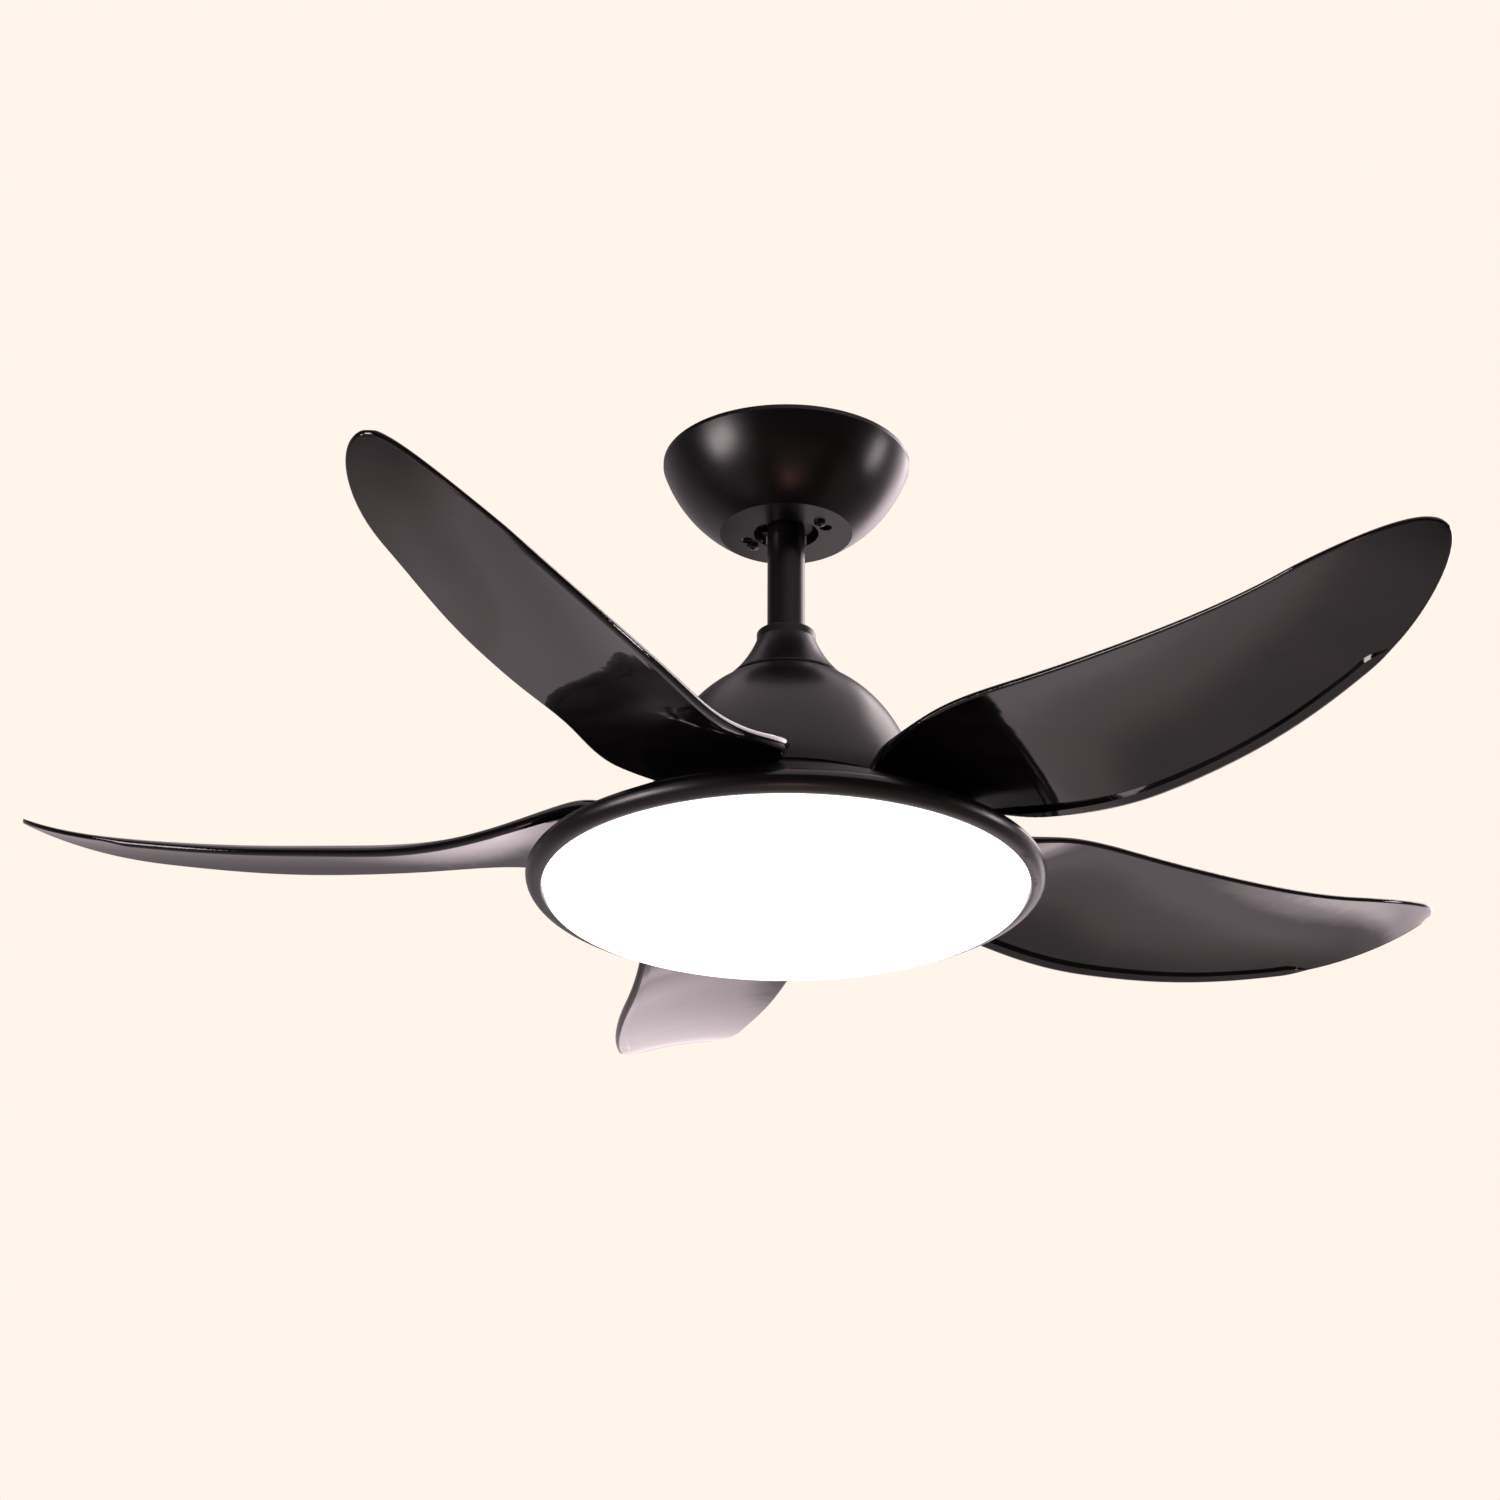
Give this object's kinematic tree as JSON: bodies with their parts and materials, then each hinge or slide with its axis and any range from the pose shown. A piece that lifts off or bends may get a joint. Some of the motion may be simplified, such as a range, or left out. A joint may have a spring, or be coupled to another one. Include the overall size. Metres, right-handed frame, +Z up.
{
  "type": "ceiling fan with light",
  "caption": "Ceiling fan on a short downrod with twisted paddle blades round a bell-shaped motor cover and a flat round opal lamp in a trim ring beneath.",
  "frame": {"origin": "on the ceiling plane, midway between the bracket's two fixing slots, on the fan's axis", "axes": "+Z up into the ceiling, along the rotor's axis; X along the line through the bracket's two slots; the fan hangs below, at negative Z"},
  "size_m": [1.0013, 1.0066, 0.3309],
  "materials": {
    "bracket_steel": "black dip coat",
    "black_metal": "satin black powder coat",
    "black_rod": "satin black powder coat",
    "black_screws": "black oxide",
    "brass_parts": "plain",
    "terminal_plastic": "moulded",
    "steel_screws": "zinc plated",
    "receiver_plastic": "moulded",
    "green_board": "solder mask",
    "zinc_steel": "zinc plated",
    "nylon": "moulded nylon",
    "black_rubber": "matte",
    "lead_jacket": "soft jacket",
    "white_plugs": "moulded",
    "cast_yoke": "painted casting",
    "black_plastic": "satin",
    "stator_steel": "laminated",
    "copper_wire": "enamelled copper",
    "rotor_iron": "machined",
    "magnet_ferrite": "ferrite",
    "cast_aluminium": "die cast",
    "white_board": "white solder mask",
    "led_phosphor": "phosphor",
    "driver_case": "moulded",
    "opal_acrylic": "opal, lit",
    "bearing_steel": "ground",
    "cage_steel": "pressed",
    "gloss_black": "polished black"
  },
  "bodies": {
    "bracket": {"ceiling_bracket": "bracket_steel", "canopy": "black_metal", "canopy_screws": "black_screws", "earth_screw": "brass_parts", "terminal_block": "terminal_plastic", "terminal_screws": "steel_screws", "receiver_case": "receiver_plastic", "receiver_lid": "receiver_plastic", "receiver_board": "green_board"},
    "cross_pin": {"hanger_pin": "zinc_steel"},
    "drop": {"hanger_ball": "nylon", "downrod": "black_rod", "lead_grommet": "black_rubber", "motor_lead": "lead_jacket", "canopy_plug": "white_plugs", "lamp_plug": "white_plugs", "motor_yoke": "cast_yoke", "yoke_set_screw": "steel_screws", "rod_pin": "zinc_steel", "spring_clip": "zinc_steel", "coupling_cover": "black_plastic", "motor_bell": "black_metal", "bell_screws": "black_screws", "motor_shaft": "zinc_steel", "stator_core": "stator_steel", "stator_coils": "copper_wire", "shaft_locknut": "zinc_steel", "lamp_bracket": "zinc_steel", "lamp_bracket_screws": "steel_screws", "lamp_pan": "black_metal", "lamp_nut": "zinc_steel", "board_spacers": "white_plugs", "board_screws": "steel_screws", "led_board": "white_board", "led_chips": "led_phosphor", "led_driver": "driver_case", "lamp_ring": "black_metal", "diffuser": "opal_acrylic", "upper_bearing_inner_ring": "bearing_steel", "lower_bearing_inner_ring": "bearing_steel"},
    "rotor": {"rotor_back_iron": "rotor_iron", "rotor_magnets": "magnet_ferrite", "rotor_upper_cap": "cast_aluminium", "rotor_lower_cap": "cast_aluminium", "rotor_cap_screws": "steel_screws", "upper_bearing_outer_ring": "bearing_steel", "lower_bearing_outer_ring": "bearing_steel", "blade_pads": "black_rubber", "blade_screws": "black_screws", "blade_1": "gloss_black", "blade_2": "gloss_black", "blade_3": "gloss_black", "blade_4": "gloss_black", "blade_5": "gloss_black"},
    "upper_cage": {"upper_bearing_balls": "bearing_steel", "upper_bearing_cage": "cage_steel"},
    "lower_cage": {"lower_bearing_balls": "bearing_steel", "lower_bearing_cage": "cage_steel"}
  },
  "joints": [
    {"name": "hanger_tilt_x", "type": "hinge", "parent": "bracket", "child": "cross_pin", "pos_m": [0, 0, -0.031], "axis": [1, 0, 0], "range_deg": [-8, 8]},
    {"name": "hanger_tilt_y", "type": "hinge", "parent": "cross_pin", "child": "drop", "pos_m": [0, 0, -0.031], "axis": [0, 1, 0], "range_deg": [-8, 8]},
    {"name": "blade_spin", "type": "hinge", "parent": "drop", "child": "rotor", "pos_m": [0, 0, -0.236], "axis": [0, 0, 1], "continuous": true},
    {"name": "upper_cage_spin", "type": "hinge", "parent": "drop", "child": "upper_cage", "pos_m": [0, 0, -0.212], "axis": [0, 0, 1], "continuous": true},
    {"name": "lower_cage_spin", "type": "hinge", "parent": "drop", "child": "lower_cage", "pos_m": [0, 0, -0.26], "axis": [0, 0, 1], "continuous": true}
  ],
  "couplings": [
    {"joint": "upper_cage_spin", "follows": "blade_spin", "ratio": 0.6182},
    {"joint": "lower_cage_spin", "follows": "blade_spin", "ratio": 0.6182}
  ]
}
